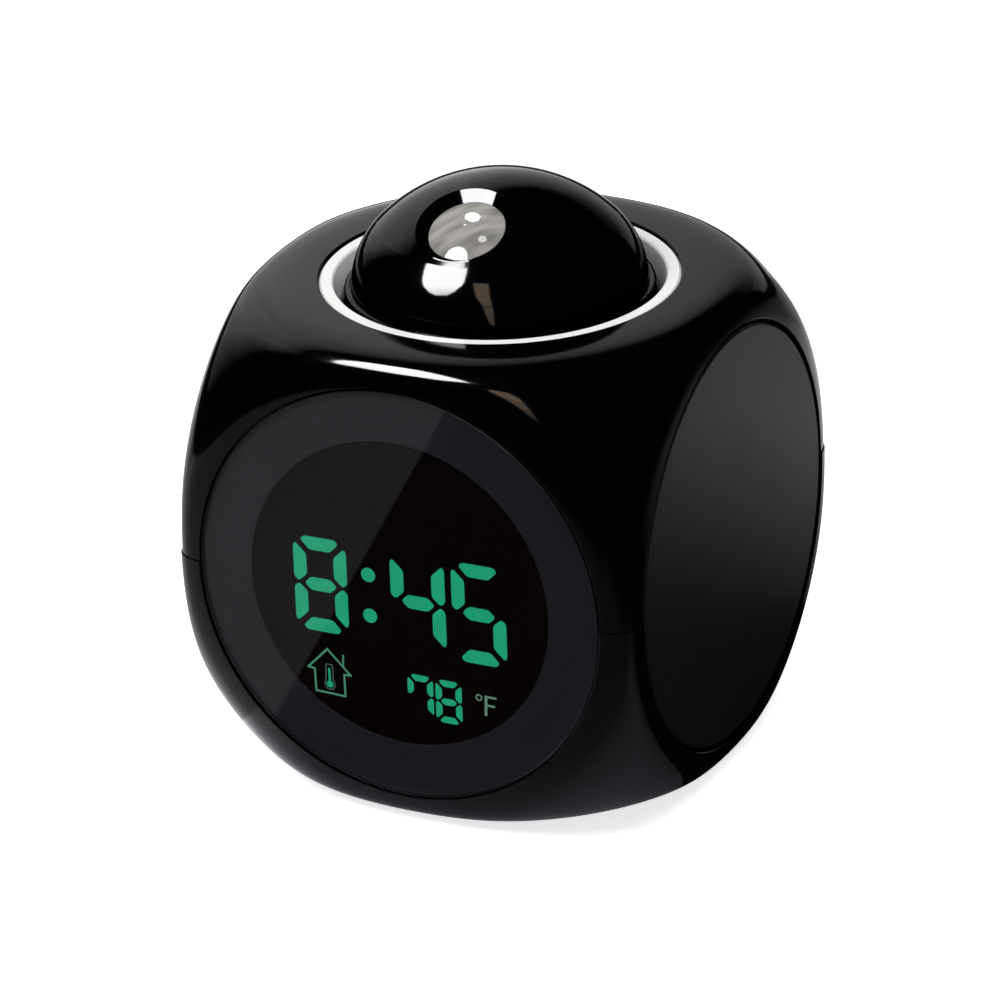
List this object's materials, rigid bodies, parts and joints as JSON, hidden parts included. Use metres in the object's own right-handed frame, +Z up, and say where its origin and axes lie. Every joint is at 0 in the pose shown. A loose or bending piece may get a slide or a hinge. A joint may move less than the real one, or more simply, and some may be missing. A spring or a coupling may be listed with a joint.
{
  "type": "projection alarm clock",
  "caption": "Ball-cornered cube alarm clock with a round lit display, satin side discs and a swivelling projector dome on top that presses down as the snooze bar.",
  "frame": {"origin": "centre of the footprint, on the surface that the feet stand on", "axes": "+Z up through the dome, -Y out of the display, +X to the clock's right side as the display is read"},
  "size_m": [0.0848, 0.0848, 0.1007],
  "materials": {
    "gloss_black": "high-gloss moulded plastic",
    "dome_black": "high-gloss moulded plastic",
    "satin_grey": "fine satin moulded plastic",
    "panel_grey": "fine satin moulded plastic",
    "clear_window": "polished clear acrylic, lightly smoked",
    "window_print": "grey printed film",
    "white_gloss": "high-gloss white plastic",
    "black_plastic": "fine matt moulded plastic",
    "button_black": "satin moulded plastic",
    "display_black": "glass with dark polarising film",
    "guide_white": "frosted light guide",
    "circuit_green": "solder mask",
    "chip_black": "moulded epoxy",
    "lamp_cream": "clear-topped lamp",
    "strip_grey": "layered silicone strip",
    "steel": "zinc plated",
    "spring_steel": "nickel plated",
    "speaker_steel": "pressed steel",
    "cone_paper": "doped paper",
    "lens_clear": "polished acrylic lens",
    "film_grey": "small picture glass",
    "guide_plastic": "natural acetal",
    "foot_rubber": "soft rubber",
    "cell_wrap": "shrink-wrapped steel can"
  },
  "bodies": {
    "case": {"upper_shell": "gloss_black", "lower_shell": "gloss_black", "front_window": "clear_window", "window_ring": "window_print", "display_frame": "black_plastic", "lcd_glass": "display_black", "light_guide": "guide_white", "lcd_connector": "strip_grey", "display_board": "circuit_green", "controller_chip": "chip_black", "backlight_leds": "lamp_cream", "display_screws": "steel", "left_cap": "satin_grey", "right_cap": "satin_grey", "back_panel": "panel_grey", "switch_body": "speaker_steel", "button_board": "circuit_green", "tact_switches": "chip_black", "button_board_screws": "steel", "speaker_basket": "speaker_steel", "speaker_cone": "cone_paper", "speaker_magnet": "steel", "trim_ring": "white_gloss", "return_spring": "spring_steel", "turret_guide": "guide_plastic", "guide_screws": "steel", "snooze_board": "circuit_green", "snooze_switch": "chip_black", "batteries": "cell_wrap", "contact_springs": "spring_steel", "contact_plates": "spring_steel", "rubber_feet": "foot_rubber", "shell_screws": "steel"},
    "press_carrier": {"press_plate": "guide_plastic"},
    "dome": {"dome_shell": "dome_black", "lens_collar": "dome_black", "projector_lens": "lens_clear", "lens_barrel": "black_plastic", "picture_film": "film_grey", "projector_board": "circuit_green", "projector_led": "lamp_cream", "turret_base": "dome_black", "turret_screws": "steel", "spindle_washer": "steel"},
    "mode_key": {"mode_button": "button_black"},
    "alarm_key": {"alarm_button": "button_black"},
    "up_key": {"up_button": "button_black"},
    "down_key": {"down_button": "button_black"},
    "slide_key": {"switch_knob": "button_black"},
    "door": {"battery_door": "gloss_black"}
  },
  "joints": [
    {"name": "dome_press", "type": "slide", "parent": "case", "child": "press_carrier", "axis": [0, 0, -1], "range_m": [0, 0.0012], "stiffness_N_per_m": 900, "springref_m": -0.0015, "deforming": ["return_spring"]},
    {"name": "dome_swivel", "type": "hinge", "parent": "press_carrier", "child": "dome", "pos_m": [0, 0, 0.0742], "axis": [0, 0, 1], "range_deg": [-90, 90]},
    {"name": "mode_push", "type": "slide", "parent": "case", "child": "mode_key", "axis": [0, -1, 0], "range_m": [0, 0.0006], "stiffness_N_per_m": 1200, "springref_m": -0.0004},
    {"name": "alarm_push", "type": "slide", "parent": "case", "child": "alarm_key", "axis": [0, -1, 0], "range_m": [0, 0.0006], "stiffness_N_per_m": 1200, "springref_m": -0.0004},
    {"name": "up_push", "type": "slide", "parent": "case", "child": "up_key", "axis": [0, -1, 0], "range_m": [0, 0.0006], "stiffness_N_per_m": 1200, "springref_m": -0.0004},
    {"name": "down_push", "type": "slide", "parent": "case", "child": "down_key", "axis": [0, -1, 0], "range_m": [0, 0.0006], "stiffness_N_per_m": 1200, "springref_m": -0.0004},
    {"name": "projection_switch", "type": "slide", "parent": "case", "child": "slide_key", "axis": [1, 0, 0], "range_m": [0, 0.004]},
    {"name": "battery_door_hinge", "type": "hinge", "parent": "case", "child": "door", "pos_m": [0, -0.02, 0.0008], "axis": [-1, 0, 0], "range_deg": [0, 70]}
  ]
}
